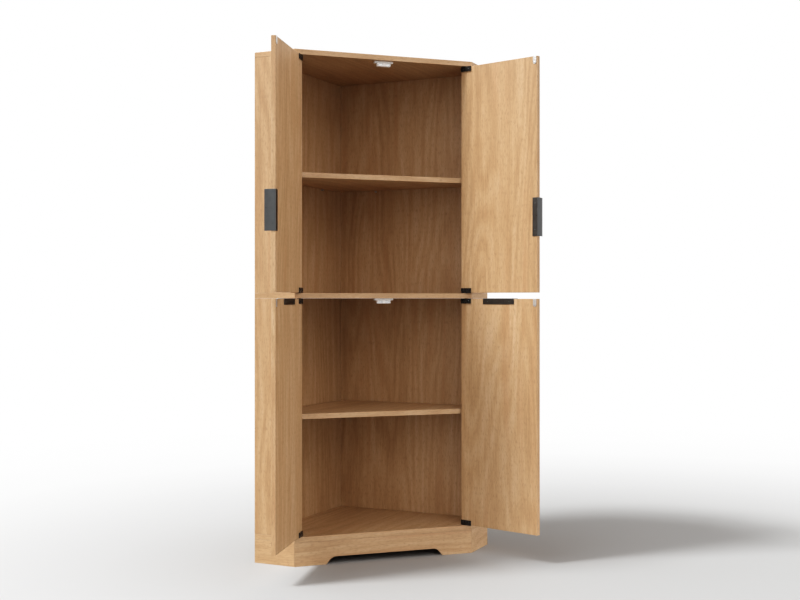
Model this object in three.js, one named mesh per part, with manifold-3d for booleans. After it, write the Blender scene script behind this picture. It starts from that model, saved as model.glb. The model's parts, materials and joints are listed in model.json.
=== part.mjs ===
// Corner cupboard: a five-sided cabinet that stands in the corner of a room.
// Two back walls meet at a right angle, two short sides stand square to them,
// and four doors close the front. Millimetres, +Z up, the front looks along -Y.
// Left and right are the viewer's, so the left side lies towards -X.

import * as THREE from 'three';
import { mergeVertices } from 'three/addons/utils/BufferGeometryUtils.js';
import Module from 'manifold-3d';

const wasm = await Module();
wasm.setup();

// Driving dimensions of the cabinet
const cabinetHeight = 1800;
const wallLength = 635; // each back wall, from its side to the room corner
const sideLength = 162; // each short side, from the front to its wall
const boardThickness = 18; // top, middle and bottom boards, and shelves
const sideThickness = 15;
const backThickness = 12;
const plinthHeight = 84;
const plinthThickness = 16;

// Clearances shared by many pieces
const seatGap = 0.3; // between two fixed pieces that touch on the real object
const runGap = 0.3; // between two pieces that slide past each other
const swingGap = 1; // between a swinging door and what it passes
const cutOverrun = 2; // how far a cutter passes through a face

// Cut-out in the front of the plinth
const cutoutFootWidth = 438;
const cutoutHeadWidth = 397;
const cutoutHeight = 26;
const cutoutRadius = 15;

// Doors
const doorThickness = 15;
const doorEndGap = 2; // between a door's end and the board above or below it
const doorMeetingGap = 4; // between the two closed doors of a pair
const doorHingeEdgeInset = 0.5; // hinge edge from the front corner of the boards
const doorOpenAngle = THREE.MathUtils.degToRad(120);

// Pivot hinges
const pivotFromCorner = 17.9; // from the boards' front corner, along the front
const pivotFromFront = 8.3; // behind the boards' front edge
const pinRadius = 3;
const pinReach = 7; // how far the pin goes into its socket
const pinClearance = 0.15; // all round the pin
const leafWidth = 44;
const leafHeight = 17; // down the door's inner face
const leafThickness = 3.5;
const leafInset = 0.5; // from the door's hinge edge
const armThickness = 1;
const armRadius = 7;
const socketRadius = 5;
const socketFlangeRadius = 7;
const socketFlangeThickness = 0.4;
const socketDepth = 7.5; // below the flange

// Angle pulls
const pullLength = 135;
const pullMetal = 1.2;
const pullReach = 24; // how far the grip stands out past the door's outer face
const pullBend = 6; // where the grip bends, past the door's outer face
const pullLean = 6; // how far the grip's lip leans back over the door
const pullFlange = 20; // how far the pull lies on the door's inner face
const pullHeight = 1218; // middle of the upright pulls above the floor

// Magnetic catches and their strike plates
const strikeWidth = 14;
const strikeLength = 27;
const strikeThickness = 1;
const strikeInset = 4; // from the door's free edge
const catchEarWidth = 70;
const catchEarHeight = 7;
const catchBodyWidth = 50;
const catchHeight = 18;
const catchDepth = 15;
const catchStandoff = 0.5; // between a closed door's strike plate and the magnet
const magnetWidth = 16;
const magnetHeight = 7;
const magnetDepth = 8;

// Shelves and the pins that carry them
const shelfSetback = 31; // shelf front behind the boards' front edge
const shelfCornerCut = 34; // from the inner room corner to the shelf's cut corner
const upperShelfUnderside = 1357;
const lowerShelfUnderside = 509;
const shelfPinRadius = 2.5; // in its hole
const shelfPinDepth = 8; // in its hole
const shelfPegRadius = 3; // under the shelf
const shelfPegLength = 9;
const shelfCollarRadius = 4.5;
const shelfCollarThickness = 1;
const shelfPinFromFront = 68; // front pins, along the side from the front corner
const shelfPinFromRoomCorner = 170; // back pins, along the wall from the room corner

// Numbers of steps round a turned piece and round a cut corner
const turnSteps = 24;
const pinSteps = 12;
const cornerSteps = 4;

// Sizes that follow from the ones above
const frontWidth = (wallLength - sideLength) * Math.SQRT2;
const depth = (wallLength + sideLength) / Math.SQRT2;
const compartmentHeight = (cabinetHeight - plinthHeight - 3 * boardThickness) / 2;
const bottomBoardTop = plinthHeight + boardThickness;
const middleBoardUnderside = bottomBoardTop + compartmentHeight;
const middleBoardTop = middleBoardUnderside + boardThickness;
const topBoardUnderside = middleBoardTop + compartmentHeight;
const doorWidth = frontWidth / 2 - doorHingeEdgeInset - doorMeetingGap / 2;
const pivotFromEdge = pivotFromCorner - doorHingeEdgeInset;
const leafBack = doorThickness + seatGap + leafThickness;
const shelfClearance = shelfCollarThickness + 2 * seatGap; // the pins' collars fit beside the shelf

// The two compartments, each closed by a pair of doors
const compartments = [
  { level: 'upper', floor: middleBoardTop, ceiling: topBoardUnderside },
  { level: 'lower', floor: bottomBoardTop, ceiling: middleBoardUnderside },
];

// The two mirrored sides
const sides = [
  { hand: 'left', sign: -1 },
  { hand: 'right', sign: 1 },
];

const cupboard = new THREE.Group();

// Materials

function laminate() {
  return new THREE.MeshStandardMaterial({ color: 0xc79e72, roughness: 0.45, metalness: 0 });
}

function blackMetal() {
  return new THREE.MeshStandardMaterial({ color: 0x1c1b1a, roughness: 0.4, metalness: 0.6 });
}

function darkAnodised() {
  return new THREE.MeshStandardMaterial({ color: 0x4a4b4b, roughness: 0.35, metalness: 0.8 });
}

function brightSteel() {
  return new THREE.MeshStandardMaterial({ color: 0xc9c9c6, roughness: 0.35, metalness: 0.9 });
}

function whitePlastic() {
  return new THREE.MeshStandardMaterial({ color: 0xeeeae2, roughness: 0.5, metalness: 0 });
}

function magnetMetal() {
  return new THREE.MeshStandardMaterial({ color: 0x6e6c68, roughness: 0.5, metalness: 0.7 });
}

// Shape helpers

// A point on the plan of the cabinet. `along` runs back from the front corner on
// the outer face of the short side, and `inward` runs from that face to the room
// corner, along the wall.
function planPoint(sign, along, inward) {
  const x = sign * (frontWidth / 2 + (along - inward) / Math.SQRT2);
  return new THREE.Vector2(x, (along + inward) / Math.SQRT2);
}

// An upright prism on a plan outline
function prism(outline, bottom, top) {
  const shape = new THREE.Shape(outline);
  const geometry = new THREE.ExtrudeGeometry(shape, { depth: top - bottom, bevelEnabled: false });
  return geometry.translate(0, 0, bottom);
}

// A bar along X whose section is drawn as points (y, z)
function barAlongX(section, start, end) {
  const length = Math.abs(end - start);
  const shape = new THREE.Shape(section);
  const geometry = new THREE.ExtrudeGeometry(shape, { depth: length, bevelEnabled: false });
  const turn = new THREE.Matrix4().makeBasis(
    new THREE.Vector3(0, 1, 0),
    new THREE.Vector3(0, 0, 1),
    new THREE.Vector3(1, 0, 0),
  );
  return geometry.applyMatrix4(turn).translate(Math.min(start, end), 0, 0);
}

// A block along Y whose front is drawn as a shape in (x, z)
function blockAlongY(shape, front, back, curveSegments = 1) {
  const options = { depth: back - front, bevelEnabled: false, curveSegments };
  return new THREE.ExtrudeGeometry(shape, options).rotateX(Math.PI / 2).translate(0, back, 0);
}

// A box between two opposite corners
function box(x0, x1, y0, y1, z0, z1) {
  const geometry = new THREE.BoxGeometry(Math.abs(x1 - x0), Math.abs(y1 - y0), Math.abs(z1 - z0));
  return geometry.translate((x0 + x1) / 2, (y0 + y1) / 2, (z0 + z1) / 2);
}

// An upright cylinder between two heights
function upright(x, y, radius, bottom, top) {
  const geometry = new THREE.CylinderGeometry(radius, radius, Math.abs(top - bottom), turnSteps);
  return geometry.rotateX(Math.PI / 2).translate(x, y, (bottom + top) / 2);
}

function toSolid(geometry) {
  const bare = geometry.clone();
  bare.deleteAttribute('normal');
  bare.deleteAttribute('uv');
  const merged = mergeVertices(bare);
  const vertProperties = new Float32Array(merged.attributes.position.array);
  const triVerts = new Uint32Array(merged.index.array);
  return new wasm.Manifold(new wasm.Mesh({ numProp: 3, vertProperties, triVerts }));
}

function toGeometry(solid) {
  const mesh = solid.getMesh();
  const geometry = new THREE.BufferGeometry();
  geometry.setAttribute('position', new THREE.BufferAttribute(mesh.vertProperties, 3));
  geometry.setIndex(new THREE.BufferAttribute(mesh.triVerts, 1));
  const faceted = geometry.toNonIndexed();
  faceted.computeVertexNormals();
  return faceted;
}

function cut(geometry, cutters) {
  const start = toSolid(geometry);
  return toGeometry(cutters.reduce((solid, cutter) => solid.subtract(toSolid(cutter)), start));
}

function join(geometries) {
  const [first, ...others] = geometries.map(toSolid);
  return toGeometry(others.reduce((solid, other) => solid.add(other), first));
}

function place(name, geometry, material, parent = cupboard) {
  const mesh = new THREE.Mesh(geometry, material);
  mesh.name = name;
  parent.add(mesh);
  return mesh;
}

// Boards

const pivotX = frontWidth / 2 - pivotFromCorner;

// The blind holes that take the hinge sockets, in the face of a board at a height.
// `up` is 1 where the hole goes up into the board and -1 where it goes down.
function socketHoles(faceHeight, up) {
  const radius = socketRadius + seatGap;
  const mouth = faceHeight - up * cutOverrun;
  const foot = faceHeight + up * (socketDepth + seatGap);
  return sides.map(({ sign }) => upright(sign * pivotX, pivotFromFront, radius, mouth, foot));
}

const boardOutline = [
  planPoint(-1, 0, 0),
  planPoint(1, 0, 0),
  planPoint(1, sideLength, 0),
  planPoint(1, sideLength, wallLength),
  planPoint(-1, sideLength, 0),
];

function board(name, underside, holes) {
  const blank = prism(boardOutline, underside, underside + boardThickness);
  place(name, cut(blank, holes), laminate());
}

board('bottom_board', plinthHeight, socketHoles(bottomBoardTop, -1));
board('middle_board', middleBoardUnderside, [
  ...socketHoles(middleBoardUnderside, 1),
  ...socketHoles(middleBoardTop, -1),
]);
board('top_board', topBoardUnderside, socketHoles(topBoardUnderside, 1));

// Shelf pins: each stands square on the inner face of a panel

const shelfLevels = { upper: upperShelfUnderside, lower: lowerShelfUnderside };

function shelfPinPlaces(sign, level) {
  const height = shelfLevels[level] - seatGap - shelfPegRadius;
  const insideWall = sideLength - backThickness;
  return {
    front: {
      mouth: planPoint(sign, shelfPinFromFront, sideThickness),
      ahead: planPoint(sign, shelfPinFromFront, sideThickness + shelfPegLength),
      height,
    },
    back: {
      mouth: planPoint(sign, insideWall, wallLength - shelfPinFromRoomCorner),
      ahead: planPoint(sign, insideWall - shelfPegLength, wallLength - shelfPinFromRoomCorner),
      height,
    },
  };
}

// Turns a geometry whose axis is +Y, so that it starts at the mouth and points ahead
function aim(geometry, { mouth, ahead, height }) {
  const direction = new THREE.Vector3(ahead.x - mouth.x, ahead.y - mouth.y, 0).normalize();
  const turn = new THREE.Quaternion().setFromUnitVectors(new THREE.Vector3(0, 1, 0), direction);
  return geometry.applyQuaternion(turn).translate(mouth.x, mouth.y, height);
}

function shelfPinHole(pinPlace) {
  const reach = shelfPinDepth + seatGap + cutOverrun;
  const radius = shelfPinRadius + seatGap;
  const geometry = new THREE.CylinderGeometry(radius, radius, reach, pinSteps);
  return aim(geometry.translate(0, cutOverrun - reach / 2, 0), pinPlace);
}

function shelfPin(pinPlace) {
  const profile = [
    new THREE.Vector2(0, -shelfPinDepth),
    new THREE.Vector2(shelfPinRadius, -shelfPinDepth),
    new THREE.Vector2(shelfPinRadius, seatGap),
    new THREE.Vector2(shelfCollarRadius, seatGap),
    new THREE.Vector2(shelfCollarRadius, seatGap + shelfCollarThickness),
    new THREE.Vector2(shelfPegRadius, seatGap + shelfCollarThickness),
    new THREE.Vector2(shelfPegRadius, shelfPegLength),
    new THREE.Vector2(0, shelfPegLength),
  ];
  return aim(new THREE.LatheGeometry(profile, pinSteps), pinPlace);
}

// Side panels, back walls, shelves and pins

// A side panel starts far enough back to clear the turning hinge edge of its door.
const swingRadius = Math.max(
  Math.hypot(pivotFromEdge, pivotFromFront),
  Math.hypot(pivotFromEdge - leafInset, leafBack - pivotFromFront),
) + swingGap;
const pivotAlong = (pivotFromFront - pivotFromCorner) / Math.SQRT2;
const pivotInward = (pivotFromFront + pivotFromCorner) / Math.SQRT2;
const panelDepthFromPivot = pivotInward - sideThickness;
const sidePanelStart = pivotAlong + Math.sqrt(swingRadius ** 2 - panelDepthFromPivot ** 2);

const shelfOutline = [];
const shelfInward = sideThickness + shelfClearance;
const shelfWall = sideLength - backThickness - shelfClearance;
const shelfCutDepth = depth - backThickness * Math.SQRT2 - shelfCornerCut;
for (const { sign } of sides) {
  const halfOutline = [
    planPoint(sign, shelfSetback * Math.SQRT2 - shelfInward, shelfInward),
    planPoint(sign, shelfWall, shelfInward),
    planPoint(sign, shelfWall, shelfCutDepth * Math.SQRT2 - shelfWall),
  ];
  shelfOutline.push(...(sign < 0 ? halfOutline.reverse() : halfOutline));
}

for (const { level, floor, ceiling } of compartments) {
  const bottom = floor + seatGap;
  const top = ceiling - seatGap;

  for (const { hand, sign } of sides) {
    const pins = shelfPinPlaces(sign, level);

    const sideOutline = [
      planPoint(sign, sidePanelStart, 0),
      planPoint(sign, sideLength, 0),
      planPoint(sign, sideLength, sideThickness),
      planPoint(sign, sidePanelStart, sideThickness),
    ];
    const sidePanel = cut(prism(sideOutline, bottom, top), [shelfPinHole(pins.front)]);
    place(`${level}_${hand}_side_panel`, sidePanel, laminate());

    // The left wall runs through to the room corner and the right wall meets it.
    const wallEnd = sign < 0 ? wallLength : wallLength - backThickness - seatGap;
    const wallOutline = [
      planPoint(sign, sideLength - backThickness, sideThickness + seatGap),
      planPoint(sign, sideLength, sideThickness + seatGap),
      planPoint(sign, sideLength, wallEnd),
      planPoint(sign, sideLength - backThickness, wallEnd),
    ];
    const wall = cut(prism(wallOutline, bottom, top), [shelfPinHole(pins.back)]);
    place(`${level}_${hand}_back_panel`, wall, laminate());

    for (const [end, pinPlace] of Object.entries(pins)) {
      place(`${level}_shelf_pin_${hand}_${end}`, shelfPin(pinPlace), brightSteel());
    }
  }

  const underside = shelfLevels[level];
  place(`${level}_shelf`, prism(shelfOutline, underside, underside + boardThickness), laminate());
}

// Plinth: five rails on edge, mitred at the two front corners

const plinthTop = plinthHeight - seatGap;
const mitre = plinthThickness * (Math.SQRT2 - 1);

const frontRailOutline = [];
for (const { sign } of sides) {
  const outer = planPoint(sign, 0, 0);
  const inner = planPoint(sign, mitre, plinthThickness);
  outer.x -= sign * seatGap;
  inner.x -= sign * seatGap;
  frontRailOutline.push(...(sign < 0 ? [inner, outer] : [outer, inner]));
}

// The cut-out has sloping ends and rounded upper corners, and is open at the floor.
const cutout = new THREE.Shape();
const slope = (cutoutFootWidth - cutoutHeadWidth) / 2 / cutoutHeight;
const footHalf = cutoutFootWidth / 2 + slope * cutOverrun;
const headHalf = cutoutHeadWidth / 2;
const roundStart = headHalf + slope * cutoutRadius;
cutout.moveTo(-footHalf, -cutOverrun);
cutout.lineTo(footHalf, -cutOverrun);
cutout.lineTo(roundStart, cutoutHeight - cutoutRadius);
cutout.quadraticCurveTo(headHalf, cutoutHeight, headHalf - cutoutRadius, cutoutHeight);
cutout.lineTo(cutoutRadius - headHalf, cutoutHeight);
cutout.quadraticCurveTo(-headHalf, cutoutHeight, -roundStart, cutoutHeight - cutoutRadius);
cutout.closePath();
const cutoutBlock = blockAlongY(cutout, -cutOverrun, plinthThickness + cutOverrun, cornerSteps);
const frontRail = cut(prism(frontRailOutline, 0, plinthTop), [cutoutBlock]);
place('plinth_front_rail', frontRail, laminate());

for (const { hand, sign } of sides) {
  const sideRailOutline = [
    planPoint(sign, 0, 0),
    planPoint(sign, sideLength, 0),
    planPoint(sign, sideLength, plinthThickness),
    planPoint(sign, mitre, plinthThickness),
  ];
  place(`plinth_${hand}_side_rail`, prism(sideRailOutline, 0, plinthTop), laminate());

  const railEnd = sign < 0 ? wallLength : wallLength - plinthThickness - seatGap;
  const backRailOutline = [
    planPoint(sign, sideLength - plinthThickness, plinthThickness + seatGap),
    planPoint(sign, sideLength, plinthThickness + seatGap),
    planPoint(sign, sideLength, railEnd),
    planPoint(sign, sideLength - plinthThickness, railEnd),
  ];
  place(`plinth_${hand}_back_rail`, prism(backRailOutline, 0, plinthTop), laminate());
}

// Doors: each hangs on its pivot, and its group is turned open from the closed place

// Puts a place on a closed door, measured from its hinge edge, into the group's X
function fromHingeEdge(sign, distance) {
  return -sign * (distance - pivotFromEdge);
}

// Puts a place behind the door's outer face into the group's Y
function behindFace(distance) {
  return distance - pivotFromFront;
}

function doorPoints(sign, points) {
  return points.map(([u, v]) => new THREE.Vector2(fromHingeEdge(sign, u), behindFace(v)));
}

// Leaf on the door, with the arm over the door's end and the pin. `up` is 1 at the
// door's top end and -1 at its bottom end.
function hingeLeaf(sign, endHeight, up) {
  const armFoot = endHeight + up * seatGap;
  const armTop = armFoot + up * armThickness;
  const plateEnd = endHeight - up * leafHeight;
  const plateFront = behindFace(doorThickness + seatGap);
  const plateBack = behindFace(leafBack);
  const plateStart = fromHingeEdge(sign, leafInset);
  const plateStop = fromHingeEdge(sign, leafInset + leafWidth);
  const pinTip = armTop + up * (runGap + socketFlangeThickness + pinReach);
  return join([
    box(plateStart, plateStop, plateFront, plateBack, plateEnd, armTop),
    box(-armRadius, armRadius, 0, plateBack, armFoot, armTop),
    upright(0, 0, armRadius, armFoot, armTop),
    upright(0, 0, pinRadius, armFoot, pinTip),
  ]);
}

// Flanged socket let into the board, with a blind bore for the pin
function hingeSocket(faceHeight, up) {
  const bore = pinRadius + pinClearance;
  const profile = [
    new THREE.Vector2(bore, -socketFlangeThickness),
    new THREE.Vector2(socketFlangeRadius, -socketFlangeThickness),
    new THREE.Vector2(socketFlangeRadius, 0),
    new THREE.Vector2(socketRadius, 0),
    new THREE.Vector2(socketRadius, socketDepth),
    new THREE.Vector2(bore, socketDepth),
    new THREE.Vector2(bore, -socketFlangeThickness),
  ];
  const geometry = new THREE.LatheGeometry(profile, turnSteps);
  return geometry.rotateX(up * Math.PI / 2).translate(0, 0, faceHeight);
}

// Upright pull on the door's free edge, an angle section that wraps the edge
function uprightPull(sign) {
  const web = doorWidth + seatGap;
  const face = doorThickness + seatGap;
  const outline = doorPoints(sign, [
    [web, -pullBend],
    [web - pullLean, -pullReach],
    [web - pullLean + pullMetal, -pullReach],
    [web + pullMetal, -pullBend],
    [web + pullMetal, face + pullMetal],
    [web - pullFlange, face + pullMetal],
    [web - pullFlange, face],
    [web, face],
  ]);
  return prism(outline, pullHeight - pullLength / 2, pullHeight + pullLength / 2);
}

// Level pull on the door's top edge, the same section laid flat
function levelPull(sign, doorTop) {
  const web = doorTop + seatGap;
  const face = doorThickness + seatGap;
  const section = [
    [-pullReach, web - pullLean],
    [-pullBend, web],
    [face, web],
    [face, web - pullFlange],
    [face + pullMetal, web - pullFlange],
    [face + pullMetal, web + pullMetal],
    [-pullBend, web + pullMetal],
    [-pullReach, web - pullLean + pullMetal],
  ].map(([v, height]) => new THREE.Vector2(behindFace(v), height));
  const start = fromHingeEdge(sign, (doorWidth - pullLength) / 2);
  const end = fromHingeEdge(sign, (doorWidth + pullLength) / 2);
  return barAlongX(section, start, end);
}

for (const { level, floor, ceiling } of compartments) {
  for (const { hand, sign } of sides) {
    const doorBottom = floor + doorEndGap;
    const doorTop = ceiling - doorEndGap;
    const prefix = `${level}_${hand}`;

    const hung = new THREE.Group();
    hung.position.set(sign * pivotX, pivotFromFront, 0);
    hung.rotation.z = sign * doorOpenAngle;
    cupboard.add(hung);

    const hingeEdge = fromHingeEdge(sign, 0);
    const freeEdge = fromHingeEdge(sign, doorWidth);
    const outerFace = behindFace(0);
    const innerFace = behindFace(doorThickness);
    const panel = box(hingeEdge, freeEdge, outerFace, innerFace, doorBottom, doorTop);
    place(`${prefix}_door`, panel, laminate(), hung);

    const pull = level === 'upper' ? uprightPull(sign) : levelPull(sign, doorTop);
    place(`${prefix}_pull`, pull, darkAnodised(), hung);

    const strike = box(
      fromHingeEdge(sign, doorWidth - strikeInset - strikeWidth),
      fromHingeEdge(sign, doorWidth - strikeInset),
      innerFace + seatGap,
      innerFace + seatGap + strikeThickness,
      doorTop - strikeLength,
      doorTop,
    );
    place(`${prefix}_strike_plate`, strike, brightSteel(), hung);

    const ends = [
      { end: 'top', up: 1, doorEnd: doorTop, boardFace: ceiling },
      { end: 'bottom', up: -1, doorEnd: doorBottom, boardFace: floor },
    ];
    for (const { end, up, doorEnd, boardFace } of ends) {
      place(`${prefix}_${end}_hinge_leaf`, hingeLeaf(sign, doorEnd, up), blackMetal(), hung);
      const socket = place(`${prefix}_${end}_hinge_socket`, hingeSocket(boardFace, up), blackMetal());
      socket.position.set(sign * pivotX, pivotFromFront, 0);
    }
  }
}

// Catches: a white housing under the board holds one magnet for each door

const catchFront = doorThickness + seatGap + strikeThickness + catchStandoff;
const catchBack = catchFront + catchDepth;
const magnetX = doorMeetingGap / 2 + strikeInset + strikeWidth / 2;

function magnetBox(sign, ceiling, spread, front) {
  const middle = ceiling - seatGap - (catchEarHeight + catchHeight) / 2;
  return box(
    sign * magnetX - magnetWidth / 2 - spread,
    sign * magnetX + magnetWidth / 2 + spread,
    front,
    catchFront + magnetDepth + spread,
    middle - magnetHeight / 2 - spread,
    middle + magnetHeight / 2 + spread,
  );
}

for (const { level, ceiling } of compartments) {
  const top = ceiling - seatGap;
  const housing = new THREE.Shape([
    new THREE.Vector2(-catchEarWidth / 2, top),
    new THREE.Vector2(-catchEarWidth / 2, top - catchEarHeight),
    new THREE.Vector2(-catchBodyWidth / 2, top - catchEarHeight),
    new THREE.Vector2(-catchBodyWidth / 2, top - catchHeight),
    new THREE.Vector2(catchBodyWidth / 2, top - catchHeight),
    new THREE.Vector2(catchBodyWidth / 2, top - catchEarHeight),
    new THREE.Vector2(catchEarWidth / 2, top - catchEarHeight),
    new THREE.Vector2(catchEarWidth / 2, top),
  ]);
  const pockets = sides.map(({ sign }) => magnetBox(sign, ceiling, seatGap, catchFront - cutOverrun));
  const block = cut(blockAlongY(housing, catchFront, catchBack), pockets);
  place(`${level}_catch_housing`, block, whitePlastic());

  for (const { hand, sign } of sides) {
    place(`${level}_${hand}_magnet`, magnetBox(sign, ceiling, 0, catchFront), magnetMetal());
  }
}

// The origin is on the floor, under the middle of the box round the open cupboard.
const bounds = new THREE.Box3().setFromObject(cupboard);
cupboard.position.y = -(bounds.min.y + bounds.max.y) / 2;

export default cupboard;
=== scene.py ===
# %% [markdown]
# A corner cupboard stands in the corner of a room. It has five sides in plan, four doors, and one
# shelf in each half. The CAD model gives the place and size of every piece, in metres. This lesson
# dresses that model: it rounds the edges of the panels, fits screws and small metal parts, and
# gives every piece a finish made of nodes. The CAD comes first, because everything else leans on it.

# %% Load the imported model
import json
import math
import random

import bmesh
import bpy
from mathutils import Matrix, Vector

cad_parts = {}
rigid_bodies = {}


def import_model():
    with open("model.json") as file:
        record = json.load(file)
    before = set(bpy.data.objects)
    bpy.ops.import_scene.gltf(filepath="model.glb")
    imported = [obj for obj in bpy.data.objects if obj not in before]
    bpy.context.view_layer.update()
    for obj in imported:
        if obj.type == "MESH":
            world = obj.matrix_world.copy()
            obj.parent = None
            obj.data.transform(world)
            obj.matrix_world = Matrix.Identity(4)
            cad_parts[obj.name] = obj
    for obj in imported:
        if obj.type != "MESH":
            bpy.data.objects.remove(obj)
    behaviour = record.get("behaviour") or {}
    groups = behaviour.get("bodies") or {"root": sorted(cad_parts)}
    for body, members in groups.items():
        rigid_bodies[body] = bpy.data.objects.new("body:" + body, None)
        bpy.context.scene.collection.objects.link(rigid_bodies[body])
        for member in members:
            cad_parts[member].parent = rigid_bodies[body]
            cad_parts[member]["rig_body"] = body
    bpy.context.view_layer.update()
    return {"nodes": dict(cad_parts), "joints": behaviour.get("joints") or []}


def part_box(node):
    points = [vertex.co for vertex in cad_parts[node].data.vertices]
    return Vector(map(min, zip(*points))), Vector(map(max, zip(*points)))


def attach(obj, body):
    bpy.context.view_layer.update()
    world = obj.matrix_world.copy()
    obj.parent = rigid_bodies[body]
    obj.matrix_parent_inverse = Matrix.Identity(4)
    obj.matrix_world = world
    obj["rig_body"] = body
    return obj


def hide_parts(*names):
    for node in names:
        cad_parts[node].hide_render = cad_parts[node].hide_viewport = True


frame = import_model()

mm = 0.001

# %% [markdown]
# The cupboard is seen from its left front, a little above half its height, with the camera held
# level. A level camera keeps upright edges upright in the picture. The place and lens were worked
# out from the known sizes of the cupboard, so that the picture lines up with it corner by corner.

# %% Camera
camera_place = Vector((-1.3737, -4.0863, 0.9311))
camera_turn = math.radians(-19.934)
camera_lens = 52.607
camera_rise = -0.0015

camera_data = bpy.data.cameras.new("camera")
camera_data.sensor_width = 36
camera_data.lens = camera_lens
camera_data.shift_y = camera_rise
camera = bpy.data.objects.new("camera", camera_data)
camera.location = camera_place
camera.rotation_euler = (math.radians(90), 0, camera_turn)
bpy.context.scene.collection.objects.link(camera)
bpy.context.scene.camera = camera
print("camera to cupboard in metres:", round(camera_place.length, 2))

# %% [markdown]
# Materials are trees of nodes. A few small helpers keep them readable: they make an empty
# material, add a node with its numbers, join an output to an input, and add the sums, ramps and
# mixes that come up again and again. Every finish below is then only a list of its own steps.

# %% Helpers for materials


def new_material(name):
    """An empty material, its node tree and its surface shader."""
    material = bpy.data.materials.new(name)
    material.use_nodes = True
    tree = material.node_tree
    tree.nodes.clear()
    output = tree.nodes.new("ShaderNodeOutputMaterial")
    shader = tree.nodes.new("ShaderNodeBsdfPrincipled")
    tree.links.new(shader.outputs["BSDF"], output.inputs["Surface"])
    return material, tree, shader


def add_node(tree, kind, settings=None, **sockets):
    """Adds a node, sets its properties, and fills or links its input sockets."""
    node = tree.nodes.new(kind)
    for name, value in (settings or {}).items():
        setattr(node, name, value)
    for name, value in sockets.items():
        fill_socket(tree, node.inputs[name.replace("_", " ")], value)
    return node


def fill_socket(tree, socket, value):
    """Links a node's output to a socket, or sets the socket to a plain value."""
    if isinstance(value, bpy.types.NodeSocket):
        tree.links.new(value, socket)
    else:
        socket.default_value = value


def arithmetic(tree, operation, first, second, clamp=False):
    """A Math node on two values, each a socket or a number."""
    node = tree.nodes.new("ShaderNodeMath")
    node.operation = operation
    node.use_clamp = clamp
    fill_socket(tree, node.inputs[0], first)
    fill_socket(tree, node.inputs[1], second)
    return node.outputs[0]


def ramp(tree, factor, stops):
    """A colour ramp with stops given as (position, colour or grey value)."""
    node = add_node(tree, "ShaderNodeValToRGB", Fac=factor)
    elements = node.color_ramp.elements
    for index, (position, tone) in enumerate(stops):
        element = elements[index] if index < 2 else elements.new(position)
        element.position = position
        element.color = (*tone, 1) if isinstance(tone, tuple) else (tone, tone, tone, 1)
    return node.outputs["Color"]


def blend_colours(tree, factor, first, second):
    """Mixes two colours, each a socket or a colour of four numbers."""
    node = tree.nodes.new("ShaderNodeMix")
    node.data_type = "RGBA"
    fill_socket(tree, node.inputs[0], factor)
    fill_socket(tree, node.inputs[6], first)
    fill_socket(tree, node.inputs[7], second)
    return node.outputs[2]


print("material helpers are ready")

# %% [markdown]
# The laminate is a printed paper of light oak, pressed on to chipboard. Its pattern is made from
# noise that is stretched along the grain: broad soft bands first, then streaks, then fine lines,
# and last the short dark pores. The arched figure of sawn oak comes from a sine of slow noise: its
# contour lines close into long loops, as growth rings do where a saw cuts them at a low angle. The
# print reads its own map named grain, in metres, whose second direction runs along the grain, so
# every panel can turn the same wood its own way. Pores also sink a little.

# %% Oak laminate
grain_map_name = "grain"
edge_layer_name = "edge"

oak_light = (0.598, 0.411, 0.251)
oak_middle = (0.520, 0.329, 0.175)
oak_dark = (0.405, 0.236, 0.113)
oak_red = (0.470, 0.260, 0.125)
pore_brown = (0.287, 0.160, 0.077)
seam_brown = (0.200, 0.110, 0.055)
# A lighter tone for the rounded corners: partly wear, partly a painted highlight along the edges.
worn_highlight_oak = (0.60, 0.43, 0.27)

# Each pattern has its spots per metre across and along the grain, its detail and its roughness.
oak_patterns = {
    "bands": (9, 0.4, 1, 0.5),
    "reddish": (38, 1.1, 2, 0.5),
    "rings": (5, 0.6, 2, 0.35),
    "streaks": (60, 1.6, 3, 0.6),
    "strokes": (150, 16, 2, 0.6),
    "lines": (430, 8, 3, 0.6),
    "dashes": (230, 45, 2, 0.5),
    "pores": (420, 60, 2, 0.5),
}
oak_weights = {"bands": 0.5, "figure": 0.14, "streaks": 0.40, "strokes": 0.34, "lines": 0.3}
figure_turns = 110
sway_pattern = (5, 1.6, 1, 0.4)
sway_width = 0.030


def stretched_noise(tree, grain, across, along, detail, roughness):
    """Noise with so many spots per metre across and along the grain."""
    stretch = add_node(tree, "ShaderNodeMapping", Vector=grain)
    stretch.inputs["Scale"].default_value = (across, along, 1)
    noise = add_node(
        tree,
        "ShaderNodeTexNoise",
        Vector=stretch.outputs["Vector"],
        Scale=1.0,
        Detail=detail,
        Roughness=roughness,
    )
    return noise.outputs["Fac"]


def wavering_grain(tree):
    """The grain map, pushed gently sideways so that no streak runs dead straight."""
    source = add_node(tree, "ShaderNodeUVMap", {"uv_map": grain_map_name})
    sway = stretched_noise(tree, source.outputs["UV"], *sway_pattern)
    push = arithmetic(tree, "MULTIPLY", arithmetic(tree, "SUBTRACT", sway, 0.5), sway_width)
    offset = add_node(tree, "ShaderNodeCombineXYZ", X=push)
    moved = add_node(tree, "ShaderNodeVectorMath", {"operation": "ADD"})
    tree.links.new(source.outputs["UV"], moved.inputs[0])
    tree.links.new(offset.outputs["Vector"], moved.inputs[1])
    return moved.outputs["Vector"]


def layered(tree, patterns, weights):
    """Adds patterns up by weight, round a middle value of one half."""
    total = 0.5 - sum(weights.values()) / 2
    for name, weight in weights.items():
        share = arithmetic(tree, "MULTIPLY", patterns[name], weight)
        total = arithmetic(tree, "ADD", total, share)
    return total


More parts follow.
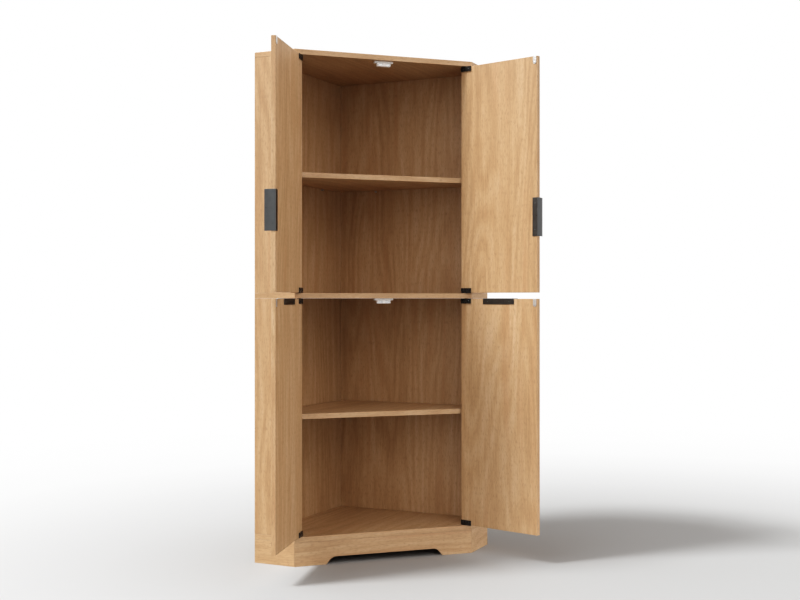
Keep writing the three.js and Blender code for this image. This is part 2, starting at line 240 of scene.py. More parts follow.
def make_oak_laminate():
    """Printed oak paper, with fine pores, and rounded corners lightened partly for wear and partly as a
    painted highlight.
    """
    material, tree, shader = new_material("oak_laminate")
    grain = wavering_grain(tree)
    edge = add_node(tree, "ShaderNodeAttribute", {"attribute_name": edge_layer_name})
    edge = edge.outputs["Fac"]

    patterns = {
        name: stretched_noise(tree, grain, *numbers) for name, numbers in oak_patterns.items()
    }
    turns = arithmetic(tree, "MULTIPLY", patterns["rings"], figure_turns)
    wave = arithmetic(tree, "SINE", turns, 0)
    patterns["figure"] = arithmetic(tree, "MULTIPLY", arithmetic(tree, "ADD", wave, 1.0), 0.5)
    tone = layered(tree, patterns, oak_weights)
    wood = ramp(tree, tone, [(0.28, oak_dark), (0.50, oak_middle), (0.74, oak_light)])

    red_share = ramp(tree, patterns["reddish"], [(0.52, 0.0), (0.72, 0.6)])
    wood = blend_colours(tree, red_share, wood, (*oak_red, 1))
    dash_share = ramp(tree, patterns["dashes"], [(0.54, 0.0), (0.72, 0.58)])
    wood = blend_colours(tree, dash_share, wood, (*oak_dark, 1))
    pore_share = ramp(tree, patterns["pores"], [(0.56, 0.0), (0.68, 0.42)])
    wood = blend_colours(tree, pore_share, wood, (*pore_brown, 1))

    seam = ramp(tree, edge, [(0.02, 0.0), (0.10, 0.7), (0.30, 0.7), (0.40, 0.0)])
    wood = blend_colours(tree, seam, wood, (*seam_brown, 1))
    # The rounded corners are lightened: partly wear, partly a painted highlight along the edges.
    wear_and_highlight = ramp(tree, arithmetic(tree, "SUBTRACT", edge, 1.0), [(0.2, 0.0), (0.8, 0.35)])
    wood = blend_colours(tree, wear_and_highlight, wood, (*worn_highlight_oak, 1))
    tree.links.new(wood, shader.inputs["Base Color"])

    lines = patterns["lines"]
    matt = ramp(tree, lines, [(0.35, 0.44), (0.70, 0.56)])
    matt = blend_colours(tree, pore_share, matt, (0.75, 0.75, 0.75, 1))
    tree.links.new(matt, shader.inputs["Roughness"])
    shader.inputs["IOR"].default_value = 1.5
    shader.inputs["Specular IOR Level"].default_value = 0.8

    height = arithmetic(tree, "SUBTRACT", lines, arithmetic(tree, "MULTIPLY", pore_share, 1.6))
    relief = add_node(tree, "ShaderNodeBump", Strength=0.35, Distance=0.00012, Height=height)
    tree.links.new(relief.outputs["Normal"], shader.inputs["Normal"])
    return material


oak = make_oak_laminate()
print("oak laminate:", len(oak.node_tree.nodes), "nodes")

# %% [markdown]
# The hinges are black japanned steel, and the pulls are dark grey lacquered metal. Both are thin
# paint over metal, so one maker gives both: a dark colour that varies a little, faint orange peel
# in the relief, and a rub of bare metal along the rounded edges. A second map value, named edge,
# says where those rounded edges are. Zinc plate, white plastic and the magnets follow the same
# plan, each with its own pattern and gloss.

# %% Finishes of the fittings


def make_painted_metal(name, dark, light, gloss, worn_tone, worn_share):
    """Paint over metal, with fine lines along the piece and worn edges."""
    material, tree, shader = new_material(name)
    source = add_node(tree, "ShaderNodeUVMap", {"uv_map": grain_map_name}).outputs["UV"]
    edge = add_node(tree, "ShaderNodeAttribute", {"attribute_name": edge_layer_name})
    clouds = stretched_noise(tree, source, 60, 45, 3, 0.6)
    brushing = stretched_noise(tree, source, 2600, 40, 2, 0.6)
    peel = stretched_noise(tree, source, 900, 900, 2, 0.5)
    paint = ramp(tree, clouds, [(0.35, dark), (0.68, light)])
    paint = blend_colours(tree, ramp(tree, brushing, [(0.5, 0.0), (0.8, 0.30)]), paint, (*light, 1))
    wear_and_highlight = arithmetic(tree, "SUBTRACT", edge.outputs["Fac"], 1.0, clamp=True)
    wear_and_highlight = arithmetic(tree, "MULTIPLY", wear_and_highlight, ramp(tree, clouds, [(0.3, 0.3), (0.6, worn_share)]))
    paint = blend_colours(tree, wear_and_highlight, paint, (*worn_tone, 1))
    tree.links.new(paint, shader.inputs["Base Color"])
    tree.links.new(
        ramp(tree, clouds, [(0.3, gloss - 0.05), (0.7, gloss + 0.07)]),
        shader.inputs["Roughness"],
    )
    relief = add_node(tree, "ShaderNodeBump", Strength=0.25, Distance=0.00004, Height=peel)
    tree.links.new(relief.outputs["Normal"], shader.inputs["Normal"])
    return material, shader


black_paint, _ = make_painted_metal(
    "black_hinge", (0.012, 0.012, 0.012), (0.020, 0.019, 0.018), 0.24, (0.10, 0.095, 0.09), 0.5
)
grey_lacquer, grey_shader = make_painted_metal(
    "grey_pull", (0.133, 0.136, 0.137), (0.151, 0.154, 0.155), 0.32, (0.25, 0.255, 0.255), 0.6
)
grey_shader.inputs["Metallic"].default_value = 1.0


def make_plated_steel(name, dark, light, gloss):
    """Zinc plate with a drawn grain and small cloudy crystals."""
    material, tree, shader = new_material(name)
    place = add_node(tree, "ShaderNodeTexCoord").outputs["Object"]
    clouds = add_node(tree, "ShaderNodeTexNoise", Vector=place, Scale=260.0, Detail=3.0)
    crystals = add_node(tree, "ShaderNodeTexVoronoi", Vector=place, Scale=700.0)
    drawn = add_node(tree, "ShaderNodeMapping", Vector=place)
    drawn.inputs["Scale"].default_value = (4000, 4000, 90)
    lines = add_node(tree, "ShaderNodeTexNoise", Vector=drawn.outputs["Vector"], Scale=1.0, Detail=2.0)
    tone = arithmetic(tree, "MULTIPLY", clouds.outputs["Fac"], 0.6)
    tone = arithmetic(tree, "ADD", tone, arithmetic(tree, "MULTIPLY", lines.outputs["Fac"], 0.3))
    tone = arithmetic(tree, "ADD", tone, arithmetic(tree, "MULTIPLY", crystals.outputs["Distance"], 0.1))
    tree.links.new(ramp(tree, tone, [(0.35, dark), (0.62, light)]), shader.inputs["Base Color"])
    tree.links.new(
        ramp(tree, clouds.outputs["Fac"], [(0.3, gloss - 0.06), (0.7, gloss + 0.10)]),
        shader.inputs["Roughness"],
    )
    relief = add_node(
        tree, "ShaderNodeBump", Strength=0.2, Distance=0.00003, Height=lines.outputs["Fac"]
    )
    tree.links.new(relief.outputs["Normal"], shader.inputs["Normal"])
    shader.inputs["Metallic"].default_value = 0.9
    return material


zinc = make_plated_steel("zinc_plate", (0.42, 0.42, 0.42), (0.60, 0.60, 0.59), 0.36)
nickel = make_plated_steel("nickel_plate", (0.70, 0.68, 0.66), (0.79, 0.77, 0.75), 0.40)
pole_steel = make_plated_steel("ground_pole_steel", (0.62, 0.62, 0.62), (0.86, 0.86, 0.85), 0.42)


def make_white_plastic():
    """Moulded plastic: a fine spark-eroded texture and a faint warm cloudiness."""
    material, tree, shader = new_material("white_plastic")
    place = add_node(tree, "ShaderNodeTexCoord").outputs["Object"]
    clouds = add_node(tree, "ShaderNodeTexNoise", Vector=place, Scale=90.0, Detail=2.0)
    pits = add_node(tree, "ShaderNodeTexVoronoi", Vector=place, Scale=1800.0)
    edge = add_node(tree, "ShaderNodeAttribute", {"attribute_name": edge_layer_name})
    tone = ramp(tree, clouds.outputs["Fac"], [(0.3, (0.89, 0.87, 0.85)), (0.7, (0.95, 0.935, 0.915))])
    wear_and_highlight = arithmetic(tree, "SUBTRACT", edge.outputs["Fac"], 1.0, clamp=True)
    wear_and_highlight = arithmetic(tree, "MULTIPLY", wear_and_highlight, 0.4)
    tone = blend_colours(tree, wear_and_highlight, tone, (0.95, 0.94, 0.93, 1))
    tree.links.new(tone, shader.inputs["Base Color"])
    depth = pits.outputs["Distance"]
    matt = ramp(tree, depth, [(0.1, 0.58), (0.7, 0.44)])
    tree.links.new(matt, shader.inputs["Roughness"])
    relief = add_node(tree, "ShaderNodeBump", Strength=0.2, Distance=0.00004, Height=depth)
    tree.links.new(relief.outputs["Normal"], shader.inputs["Normal"])
    return material


white_plastic = make_white_plastic()
print("fitting finishes:", black_paint.name, grey_lacquer.name, zinc.name, white_plastic.name)

# %% [markdown]
# Real panels never end in a knife edge. Each is cut, its edges are covered with a thin band, and
# the band is rounded over. So each wooden piece starts as a copy of its CAD mesh: the loose
# triangles are merged, flat neighbours are joined, and the corners are bevelled by about half a
# millimetre. An inset then draws the end of the edge band on the broad faces. Copying keeps the
# holes and mitres of the CAD exactly, which modelling each board again could only lose.

# %% Helpers for shapes
merge_distance = 0.01 * mm
flat_angle = math.radians(0.5)
corner_angle = math.radians(25)
bevel_segments = 2
broad_cosine = 0.7


def merged_copy(node):
    """A bmesh with the shape of a CAD node, its triangles joined into whole faces."""
    shape = bmesh.new()
    shape.from_mesh(frame["nodes"][node].data)
    bmesh.ops.remove_doubles(shape, verts=shape.verts, dist=merge_distance)
    bmesh.ops.dissolve_limit(
        shape,
        angle_limit=flat_angle,
        use_dissolve_boundaries=False,
        verts=shape.verts,
        edges=shape.edges,
    )
    return shape


def round_corners(shape, radius):
    """Bevels every corner and returns the new narrow faces."""
    corners = [edge for edge in shape.edges if edge.calc_face_angle(0) > corner_angle]
    result = bmesh.ops.bevel(
        shape,
        geom=corners,
        offset=radius,
        offset_type="OFFSET",
        affect="EDGES",
        segments=bevel_segments,
        profile=0.5,
        material=-1,
        clamp_overlap=True,
    )
    return set(result["faces"])


def lay_grain(shape, thickness, grain, shift):
    """Fills the grain map in metres. Broad faces follow the grain; edge faces follow their length."""
    layer = shape.loops.layers.uv.new(grain_map_name)
    across = thickness.cross(grain)
    for face in shape.faces:
        if abs(face.normal.dot(thickness)) > broad_cosine:
            along, side = grain, across
        else:
            along, side = face.normal.cross(thickness).normalized(), thickness
        for loop in face.loops:
            spot = loop.vert.co
            loop[layer].uv = (spot.dot(side) + shift[0], spot.dot(along) + shift[1])


def mark_edges(shape, rounded, band_faces=(), inner_corners=()):
    """Writes the edge value: 0 on a face, rising to 1 over the band's end, 2 on rounded corners."""
    layer = shape.loops.layers.float.new(edge_layer_name)
    for face in shape.faces:
        for loop in face.loops:
            if face in rounded:
                loop[layer] = 2
            elif face in band_faces and loop.vert not in inner_corners:
                loop[layer] = 1


def finish_piece(shape, name, body, material, nodes=()):
    """Makes the bmesh a shaded object that rides on a body and may stand for CAD nodes."""
    mesh = bpy.data.meshes.new(name)
    shape.to_mesh(mesh)
    shape.free()
    mesh.materials.append(material)
    mesh.shade_smooth()
    piece = bpy.data.objects.new(name, mesh)
    bpy.context.scene.collection.objects.link(piece)
    even = piece.modifiers.new("even_shading", "WEIGHTED_NORMAL")
    even.weight = 100
    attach(piece, body)
    if nodes:
        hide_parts(*nodes)


def body_of_node(node):
    """The name of the body that a CAD node moves with."""
    return frame["nodes"][node]["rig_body"]


print("shape helpers are ready")

# %% [markdown]
# Grain tells how each panel was cut. Upright panels and doors have upright grain, plinth rails
# have level grain, and the boards and shelves have theirs parallel to the left wall, as the
# bottom of each compartment shows.

# %% Directions of the panels
up = Vector((0, 0, 1))
rightwards = Vector((1, 0, 0))
backwards = Vector((0, 1, 0))
wall_run = {"left": Vector((1, 1, 0)).normalized(), "right": Vector((-1, 1, 0)).normalized()}
side_run = {"left": wall_run["right"], "right": wall_run["left"]}
hand_sign = {"left": -1, "right": 1}
levels = ("upper", "lower")
hands = ("left", "right")
door_angle = math.radians(120)


def door_turn(hand):
    """The turn of an open door from its closed place."""
    return Matrix.Rotation(hand_sign[hand] * door_angle, 4, "Z")


panel_directions = {}
for name in ("top_board", "middle_board", "bottom_board", "upper_shelf", "lower_shelf"):
    panel_directions[name] = (up, wall_run["left"])
panel_directions["plinth_front_rail"] = (backwards, rightwards)
for hand in hands:
    panel_directions[f"plinth_{hand}_side_rail"] = (wall_run[hand], side_run[hand])
    panel_directions[f"plinth_{hand}_back_rail"] = (side_run[hand], wall_run[hand])
    for level in levels:
        panel_directions[f"{level}_{hand}_side_panel"] = (wall_run[hand], up)
        panel_directions[f"{level}_{hand}_back_panel"] = (side_run[hand], up)
        panel_directions[f"{level}_{hand}_door"] = (door_turn(hand) @ backwards, up)
print("wooden pieces:", len(panel_directions))

# %% [markdown]
# The laminate comes off a printed roll, and no two panels show the same stretch of it. A joiner
# picks the light stretches for the panels that face the room. Here each panel has a numbered place
# on the roll instead. Sixty places were tried. Most panels in view have the one whose broad light
# and dark bands come nearest to those of the real cupboard, and the others one almost as near.
# Panels that can't be seen from the front only need a place that no other panel has.

# %% Places on the printed roll
roll_step = (0.9, 1.3)
roll_places = {
    "top_board": 41,
    "middle_board": 40,
    "bottom_board": 28,
    "upper_shelf": 49,
    "lower_shelf": 4,
    "plinth_front_rail": 15,
    "plinth_left_side_rail": 9,
    "plinth_left_back_rail": 42,
    "plinth_right_side_rail": 1,
    "plinth_right_back_rail": 43,
    "upper_left_side_panel": 7,
    "upper_left_back_panel": 19,
    "upper_left_door": 13,
    "lower_left_side_panel": 26,
    "lower_left_back_panel": 39,
    "lower_left_door": 12,
    "upper_right_side_panel": 2,
    "upper_right_back_panel": 14,
    "upper_right_door": 11,
    "lower_right_side_panel": 3,
    "lower_right_back_panel": 57,
    "lower_right_door": 27,
}
print("places all different:", len(set(roll_places.values())) == len(panel_directions))

# %% [markdown]
# One loop now makes all the wooden pieces. The bevel comes before the inset, because the inset
# measures from the rounded corner, and the map comes last, when every face is in place. Panels and
# rails butt against their neighbours, so their ends stay almost sharp and the joints look tight.

# %% Panels, boards, shelves, rails and doors
corner_radius = 0.6 * mm
joint_radius = 0.25 * mm
band_thickness = 0.9 * mm
flat_cosine = 0.999


def make_panel(name, thickness, grain):
    """A wooden piece with rounded corners, banded edges and its own stretch of grain."""
    shape = merged_copy(name)
    tight = name.endswith(("panel", "rail"))
    rounded = round_corners(shape, joint_radius if tight else corner_radius)
    broad = [face for face in shape.faces if abs(face.normal.dot(thickness)) > flat_cosine]
    bands = bmesh.ops.inset_region(
        shape,
        faces=broad,
        thickness=band_thickness,
        use_boundary=True,
        use_even_offset=True,
    )
    inner_corners = {corner for face in broad for corner in face.verts}
    mark_edges(shape, rounded, set(bands["faces"]), inner_corners)
    shift = [roll_places[name] * step for step in roll_step]
    lay_grain(shape, thickness, grain, shift)
    faces = len(shape.faces)
    finish_piece(shape, f"{name}_oak", body_of_node(name), oak, [name])
    return faces


panel_faces = {name: make_panel(name, *panel_directions[name]) for name in panel_directions}
print("faces on the middle board:", panel_faces["middle_board"])
print("faces on all wooden pieces:", sum(panel_faces.values()))

# %% [markdown]
# The studio comes before the small parts, so that each of them can be judged in its light. The
# floor is pale and matt. It fades to pure white away from the cupboard, as a lit backdrop does,
# and the world behind is white too, so no horizon shows. The light that the floor throws back at
# the wood is set apart from the tone that the camera sees: it is strong near the plinth, where it
# lifts the lowest edges, and weak further out, which keeps the ceilings inside dark.

# %% Floor and backdrop
floor_half_size = 30
floor_seen = (0.373, 0.361, 0.353, 1)
bounce_stops = [(0.05, 0.52), (0.15, 0.18)]
fade_middle = (0.7, -0.4, 0.0)
fade_reach = 10
fade_stops = [(0.10, 0.0), (0.175, 0.44), (0.24, 0.74), (0.29, 0.90), (0.36, 0.97), (0.46, 1.0)]


def make_floor_material():
    """A pale floor that turns into white light with distance."""
    material, tree, shader = new_material("studio_floor")
    place = add_node(tree, "ShaderNodeTexCoord").outputs["Object"]
    distance = add_node(tree, "ShaderNodeVectorMath", {"operation": "DISTANCE"})
    tree.links.new(place, distance.inputs[0])
    distance.inputs[1].default_value = fade_middle
    reach = arithmetic(tree, "DIVIDE", distance.outputs["Value"], fade_reach)
    path = add_node(tree, "ShaderNodeLightPath")
    bounce = ramp(tree, reach, bounce_stops)
    tone = blend_colours(tree, path.outputs["Is Camera Ray"], bounce, floor_seen)
    tree.links.new(tone, shader.inputs["Base Color"])
    shader.inputs["Roughness"].default_value = 0.9
    shader.inputs["Specular IOR Level"].default_value = 0.1
    glow = add_node(tree, "ShaderNodeEmission", Strength=1.0)
    share = ramp(tree, reach, fade_stops)
    share = arithmetic(tree, "MULTIPLY", share, path.outputs["Is Camera Ray"])
    mixed = add_node(tree, "ShaderNodeMixShader", Fac=share)
    tree.links.new(shader.outputs["BSDF"], mixed.inputs[1])
    tree.links.new(glow.outputs["Emission"], mixed.inputs[2])
    output = next(node for node in tree.nodes if node.type == "OUTPUT_MATERIAL")
    tree.links.new(mixed.outputs["Shader"], output.inputs["Surface"])
    return material


floor_shape = bmesh.new()
bmesh.ops.create_grid(floor_shape, x_segments=1, y_segments=1, size=floor_half_size)
floor_mesh = bpy.data.meshes.new("studio_floor")
floor_shape.to_mesh(floor_mesh)
floor_shape.free()
floor_mesh.materials.append(make_floor_material())
floor = bpy.data.objects.new("studio_floor", floor_mesh)
bpy.context.scene.collection.objects.link(floor)
print("floor in metres:", floor_half_size * 2)

# %% [markdown]
# A large soft key light stands to the left, well above. It throws the doors' shadows to the right
# across the floor. A sun lamp with a wide disc gives that light: its shadows are sharp near the
# doors and soft further off. A real softbox also spills light round its frame, so a second sun
# lamp, weaker and much wider, shines from the same side. Both are a little cool beside the world
# light, so the lit faces look less orange than the shaded ones.

# %% Key light
key_direction = Vector((0.587, 0.008, -0.810))
key_suns = {"key_light": (3.55, 13), "key_spill": (1.68, 60)}
key_tone = (0.913, 0.966, 1.0)


def make_sun(name, strength, disc):
    """A sun lamp along the key direction, with a disc of so many degrees."""
    lamp = bpy.data.lights.new(name, "SUN")
    lamp.energy = strength
    lamp.color = key_tone
    lamp.angle = math.radians(disc)
    sun = bpy.data.objects.new(name, lamp)
    sun.rotation_mode = "QUATERNION"
    sun.rotation_quaternion = key_direction.to_track_quat("-Z", "Y")
    bpy.context.scene.collection.objects.link(sun)


for name in key_suns:
    make_sun(name, *key_suns[name])
print("key light height angle:", round(math.degrees(math.asin(-key_direction.normalized().z))))

# %% [markdown]
# The rest of the light comes from the world, as three rings of soft light round the cupboard, all
# a little warm. The low ring is almost even. The two above it lean to the front and the right,
# against the key, as a reflector does there. Straight overhead there is none, so faces that look
# up get no more than faces that look at the room. The camera itself sees plain white instead. The
# display then works like film: its gamma deepens the shadows, and a curve with a soft shoulder
# keeps the lit wood from burning out.

# %% World light
world_tone = (1.0, 0.985, 0.97, 1)
low_ring = {"strength": 0.883, "lean": (0.01, -0.23, 0.0), "heights": [(0.20, 1.0), (0.35, 0.0)]}
middle_ring = {
    "strength": 0.883,
    "lean": (0.51, -0.86, 0.0),
    "heights": [(0.20, 0.0), (0.35, 1.0), (0.45, 1.0), (0.60, 0.0)],
}
high_ring = {
    "strength": 1.259,
    "lean": (0.87, -0.48, 0.0),
    "heights": [(0.45, 0.0), (0.60, 1.0), (0.70, 1.0), (0.85, 0.0)],
}
display_power = 1.5
film_shoulder = 0.8
film_points = (0.03, 0.1, 0.2, 0.35, 0.5, 0.65, 0.8)


def ring_light(sky, direction, ring):
    """Light from a band of heights, stronger towards the side that it leans to."""
    level = add_node(sky, "ShaderNodeVectorMath", {"operation": "MULTIPLY"})
    sky.links.new(direction, level.inputs[0])
    level.inputs[1].default_value = (1, 1, 0)
    side = add_node(sky, "ShaderNodeVectorMath", {"operation": "NORMALIZE"})
    sky.links.new(level.outputs["Vector"], side.inputs[0])
    towards = add_node(sky, "ShaderNodeVectorMath", {"operation": "DOT_PRODUCT"})
    sky.links.new(side.outputs["Vector"], towards.inputs[0])
    towards.inputs[1].default_value = ring["lean"]
    share = arithmetic(sky, "ADD", towards.outputs["Value"], 1.0)
    share = arithmetic(sky, "MAXIMUM", share, 0.0)
    height = add_node(sky, "ShaderNodeSeparateXYZ", Vector=direction).outputs["Z"]
    share = arithmetic(sky, "MULTIPLY", share, ramp(sky, height, ring["heights"]))
    return arithmetic(sky, "MULTIPLY", share, ring["strength"])


world = bpy.data.worlds.new("studio")
bpy.context.scene.world = world
world.use_nodes = True
sky = world.node_tree
sky.nodes.clear()
direction = add_node(sky, "ShaderNodeTexCoord").outputs["Generated"]
light = 0.0
for ring in (low_ring, middle_ring, high_ring):
    light = arithmetic(sky, "ADD", light, ring_light(sky, direction, ring))
seen = add_node(sky, "ShaderNodeBackground", Color=(1, 1, 1, 1), Strength=1.0)
lighting = add_node(sky, "ShaderNodeBackground", Color=world_tone, Strength=light)
path = add_node(sky, "ShaderNodeLightPath")
chosen = add_node(sky, "ShaderNodeMixShader", Fac=path.outputs["Is Camera Ray"])
sky.links.new(lighting.outputs["Background"], chosen.inputs[1])
sky.links.new(seen.outputs["Background"], chosen.inputs[2])
world_output = add_node(sky, "ShaderNodeOutputWorld")
sky.links.new(chosen.outputs["Shader"], world_output.inputs["Surface"])

scene = bpy.context.scene
scene.view_settings.view_transform = "Standard"
scene.view_settings.look = "None"
scene.view_settings.gamma = 1 / display_power
scene.view_settings.use_curve_mapping = True
film = scene.view_settings.curve_mapping
for tone in film_points:
    film.curves[3].points.new(tone, tone * (1 + film_shoulder) / (1 + film_shoulder * tone))
film.update()
print("world nodes:", len(sky.nodes))

# %% [markdown]
# The small fittings follow. The sockets, the hinge leaves with their pins, the pulls, the shelf
# pins, the catch housings and the magnets all have the right shape in the CAD, so they are copied
# and rounded like the panels, with radii that suit pressed or moulded parts. Long parts take
# their grain along their length, so that brush lines run the way the metal was drawn.

# %% Hinges, pulls, pins and catches
housing_radius = 0.6 * mm
pull_radius = 0.35 * mm
magnet_radius = 0.25 * mm
leaf_radius = 0.7 * mm
socket_radius = 0.15 * mm
pin_radius = 0.2 * mm
draw = random.Random(7)

housing_plan = (housing_radius, backwards, rightwards, "white_plastic", white_plastic)
magnet_plan = (magnet_radius, backwards, rightwards, "magnet", pole_steel)
socket_plan = (socket_radius, up, rightwards, "black_hinge", black_paint)
pin_plan = (pin_radius, up, rightwards, "steel", zinc)
fitting_plans = {}
for level in levels:
    fitting_plans[f"{level}_catch_housing"] = housing_plan
    for hand in hands:
        inwards = door_turn(hand) @ backwards
        sideways = door_turn(hand) @ rightwards
        pull_run = up if level == "upper" else sideways
        pull_plan = (pull_radius, inwards, pull_run, "grey_pull", grey_lacquer)
        leaf_plan = (leaf_radius, inwards, sideways, "black_hinge", black_paint)
        fitting_plans[f"{level}_{hand}_pull"] = pull_plan
        fitting_plans[f"{level}_{hand}_magnet"] = magnet_plan
        for end in ("top", "bottom"):
            fitting_plans[f"{level}_{hand}_{end}_hinge_leaf"] = leaf_plan
            fitting_plans[f"{level}_{hand}_{end}_hinge_socket"] = socket_plan
        for end in ("front", "back"):
            fitting_plans[f"{level}_shelf_pin_{hand}_{end}"] = pin_plan


def make_fitting(name, radius, thickness, grain, slot, material):
    """A fitting with rounded corners and a map along its length."""
    shape = merged_copy(name)
    rounded = round_corners(shape, radius)
    mark_edges(shape, rounded)
    lay_grain(shape, thickness, grain, (draw.uniform(0, 1), draw.uniform(0, 1)))
    finish_piece(shape, f"{name}_{slot}", body_of_node(name), material, [name])


for name in fitting_plans:
    make_fitting(name, *fitting_plans[name])
print("fittings:", len(fitting_plans))

# %% [markdown]
# The strike plate is a strip of nickel-plated steel with a round lower end, screwed to the inner
# face of the door where the magnet pulls. It starts as a cube, and a deep bevel on its two lower
# corners makes the round end. It is built on the closed left door, then turned open with
# the door and mirrored for the right.

# %% Strike plates
door_ends = {}
for level in levels:
    door_low, door_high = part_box(f"{level}_left_door")
    door_ends[level] = (door_low.z, door_high.z)
    print(level, "door height in mm:", round((door_high.z - door_low.z) / mm))

door_width = 331.95 * mm
door_thickness = 15 * mm
pivot_from_edge = 17.4 * mm
pivot_from_front = 8.3 * mm
seat_gap = 0.3 * mm
strike_width = 14 * mm
strike_length = 27 * mm
strike_thickness = 1 * mm
strike_inset = 4 * mm
strike_end_radius = 6.4 * mm
strike_end_segments = 8
strike_corner_radius = 0.25 * mm

pivots = {joint["child"]: Vector(joint["pos_m"]) for joint in frame["joints"]}


def door_place(level, hand):
    """Moves a thing from the closed left door, with the pivot at the origin, to its open door."""
    pivot = pivots[f"{level}_{hand}_door_set"]
    pivot = Vector((pivot.x, pivot.y, 0))
    mirror = Matrix.Scale(-hand_sign[hand], 4, rightwards)
    return Matrix.Translation(pivot) @ door_turn(hand) @ mirror


def on_door(from_hinge_edge, behind_face, height):
    """A point of the closed left door, measured from its hinge edge and its outer face."""
    return Vector((from_hinge_edge - pivot_from_edge, behind_face - pivot_from_front, height))


def place_shape(shape, placing):
    """Moves a bmesh, and turns its faces back outwards if the move mirrored it."""
    bmesh.ops.transform(shape, matrix=placing, verts=shape.verts)
    if placing.determinant() < 0:
        bmesh.ops.reverse_faces(shape, faces=shape.faces)


def make_strike_plate(level, hand):
    """A plate with a round lower end, placed on its open door."""
    shape = bmesh.new()
    bmesh.ops.create_cube(shape, size=1)
    bmesh.ops.scale(shape, vec=(strike_width, strike_thickness, strike_length), verts=shape.verts)
    lower = [
        edge
        for edge in shape.edges
        if all(corner.co.z < 0 for corner in edge.verts)
        and abs(edge.verts[0].co.y - edge.verts[1].co.y) > strike_thickness / 2
    ]
    bmesh.ops.bevel(
        shape,
        geom=lower,
        offset=strike_end_radius,
        affect="EDGES",
        segments=strike_end_segments,
        profile=0.5,
        material=-1,
    )
    rounded = round_corners(shape, strike_corner_radius)
    mark_edges(shape, rounded)
    middle = on_door(
        door_width - strike_inset - strike_width / 2,
        door_thickness + seat_gap + strike_thickness / 2,
        door_ends[level][1] - strike_length / 2,
    )
    place_shape(shape, door_place(level, hand) @ Matrix.Translation(middle))
    lay_grain(shape, door_turn(hand) @ backwards, up, (0, 0))
    node = f"{level}_{hand}_strike_plate"
    finish_piece(shape, f"{node}_nickel", body_of_node(node), nickel, [node])


for level in levels:
    for hand in hands:
        make_strike_plate(level, hand)
print("strike plates:", len(levels) * len(hands))

# %% [markdown]
# Screws hold the leaves, pulls, strike plates and catches. Each is a low domed head with a cross
# slot. The slot starts as a grid of nine squares: without its corners it is a cross, and pressing
# the cross down makes the slot. A ring of the same number of points, bridged to the cross, gives
# the head its round face. One small shape, repeated, serves every fitting.

# %% Screw heads
slot_arm = 0.32
slot_reach = 0.62
dome_drop = 0.35
ring_points = 12


def screw_head(radius, rise, slot_depth):
    """A domed screw head with a cross slot, standing on the origin and facing up."""
    shape = bmesh.new()
    bmesh.ops.create_grid(shape, x_segments=3, y_segments=3, size=1)
    for corner in shape.verts:
        for axis in (0, 1):
            side = 1 if corner.co[axis] > 0 else -1
            reach = slot_reach if abs(corner.co[axis]) > 0.5 else slot_arm / 2
            corner.co[axis] = side * reach * radius
    outer = [
        face
        for face in shape.faces
        if min(abs(face.calc_center_median()[axis]) for axis in (0, 1)) > slot_arm * radius / 2
    ]
    bmesh.ops.delete(shape, geom=outer, context="FACES")
    cross = list(shape.faces)
    rim = [edge for edge in shape.edges if edge.is_boundary]
    ring = bmesh.ops.create_circle(shape, segments=ring_points, radius=radius)["verts"]
    half_step = Matrix.Rotation(math.pi / ring_points, 3, "Z")
    bmesh.ops.rotate(shape, verts=ring, cent=(0, 0, 0), matrix=half_step)
    ring_edges = [edge for edge in shape.edges if all(corner in ring for corner in edge.verts)]
    bmesh.ops.bridge_loops(shape, edges=rim + ring_edges)
    skirt = bmesh.ops.extrude_edge_only(shape, edges=ring_edges)["geom"]
    skirt = [item for item in skirt if isinstance(item, bmesh.types.BMVert)]
    for corner in shape.verts:
        corner.co.z = rise
    for corner in skirt:
        corner.co.z = -rise
    for corner in ring:
        corner.co.z = rise * dome_drop
    pressed = bmesh.ops.extrude_face_region(shape, geom=cross)["geom"]
    bmesh.ops.delete(shape, geom=cross, context="FACES_KEEP_BOUNDARY")
    for item in pressed:
        if isinstance(item, bmesh.types.BMVert):
            item.co.z = rise - slot_depth
    bmesh.ops.recalc_face_normals(shape, faces=shape.faces)
    return shape


sample = screw_head(1, 0.3, 0.5)
print("screw head faces:", len(sample.faces))
sample.free()

# %% [markdown]
# The screws of one kind of fitting make one piece on each door, and so do those of each catch.
# The doors' seats are given on the closed left door, as for the strike plates, and each head is
# turned so that it faces out of its seat.

# %% Screws on the doors and catches
leaf_thickness = 3.5 * mm
leaf_middle_from_end = 9.5 * mm
leaf_screw_distances = (11 * mm, 34 * mm)
leaf_screw_radius = 3.1 * mm
pull_metal = 1.2 * mm
pull_flange = 20 * mm
pull_middle = 1218 * mm
pull_screw_spread = 46 * mm
pull_screw_radius = 2.6 * mm
strike_screw_from_top = 21 * mm
strike_screw_radius = 2.4 * mm
catch_ear_thickness = 7 * mm
catch_screw_spread = 30 * mm
catch_screw_radius = 3.0 * mm
head_rise = 0.25
head_slot_depth = 0.5
face_out = Matrix.Rotation(math.radians(-90), 4, "X")
face_down = Matrix.Rotation(math.radians(180), 4, "X")
draw_turn = random.Random(11)


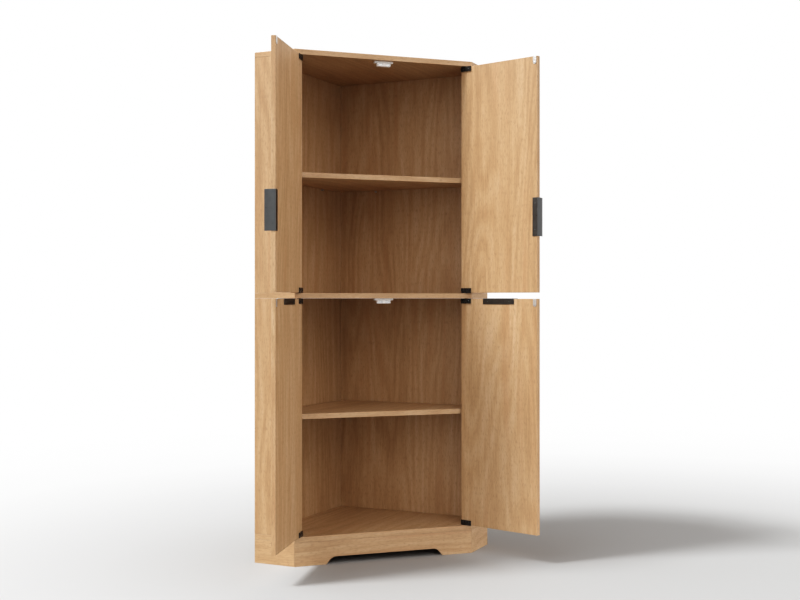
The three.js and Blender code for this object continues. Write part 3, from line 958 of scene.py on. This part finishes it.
def make_screws(name, body, seats, radius, placing, facing, slot, material):
    """A piece with a screw head on each seat, each turned by its own chance angle."""
    shape = bmesh.new()
    for seat in seats:
        head = screw_head(radius, head_rise * radius, head_slot_depth * radius)
        spin = Matrix.Rotation(draw_turn.uniform(0, math.pi), 4, "Z")
        place_shape(head, placing @ Matrix.Translation(seat) @ facing @ spin)
        scratch = bpy.data.meshes.new("screw")
        head.to_mesh(scratch)
        head.free()
        shape.from_mesh(scratch)
        bpy.data.meshes.remove(scratch)
    shape.normal_update()
    mark_edges(shape, set())
    lay_grain(shape, up, rightwards, (0, 0))
    finish_piece(shape, name, body, material)


def screws_of_door(level, hand):
    """The screws of a door's two hinge leaves, its pull and its strike plate."""
    bottom, top = door_ends[level]
    body = f"{level}_{hand}_door_set"
    placing = (door_place(level, hand), face_out)
    seat_face = door_thickness + seat_gap
    leaf_seats = [
        on_door(distance, seat_face + leaf_thickness, height)
        for distance in leaf_screw_distances
        for height in (top - leaf_middle_from_end, bottom + leaf_middle_from_end)
    ]
    finish = ("black_hinge", black_paint)
    make_screws(f"{body}_hinge_screws", body, leaf_seats, leaf_screw_radius, *placing, *finish)

    pull_seats = []
    for side in (-1, 1):
        run = side * pull_screw_spread
        if level == "upper":
            across, height = door_width - pull_flange / 2, pull_middle + run
        else:
            across, height = door_width / 2 + run, top - pull_flange / 2
        pull_seats.append(on_door(across, seat_face + pull_metal, height))
    finish = ("grey_pull", grey_lacquer)
    make_screws(f"{body}_pull_screws", body, pull_seats, pull_screw_radius, *placing, *finish)

    across = door_width - strike_inset - strike_width / 2
    strike_seat = on_door(across, seat_face + strike_thickness, top - strike_screw_from_top)
    finish = ("steel", nickel)
    make_screws(f"{body}_strike_screw", body, [strike_seat], strike_screw_radius, *placing, *finish)


def screws_of_catch(level):
    """The two screws under the ears of a catch."""
    low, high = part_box(f"{level}_catch_housing")
    middle = (low.y + high.y) / 2
    under_ear = high.z - catch_ear_thickness
    seats = [Vector((side * catch_screw_spread, middle, under_ear)) for side in (-1, 1)]
    placing = (Matrix.Identity(4), face_down)
    finish = ("steel", zinc)
    make_screws(f"{level}_catch_screws", "cabinet", seats, catch_screw_radius, *placing, *finish)


for level in levels:
    for hand in hands:
        screws_of_door(level, hand)
    screws_of_catch(level)
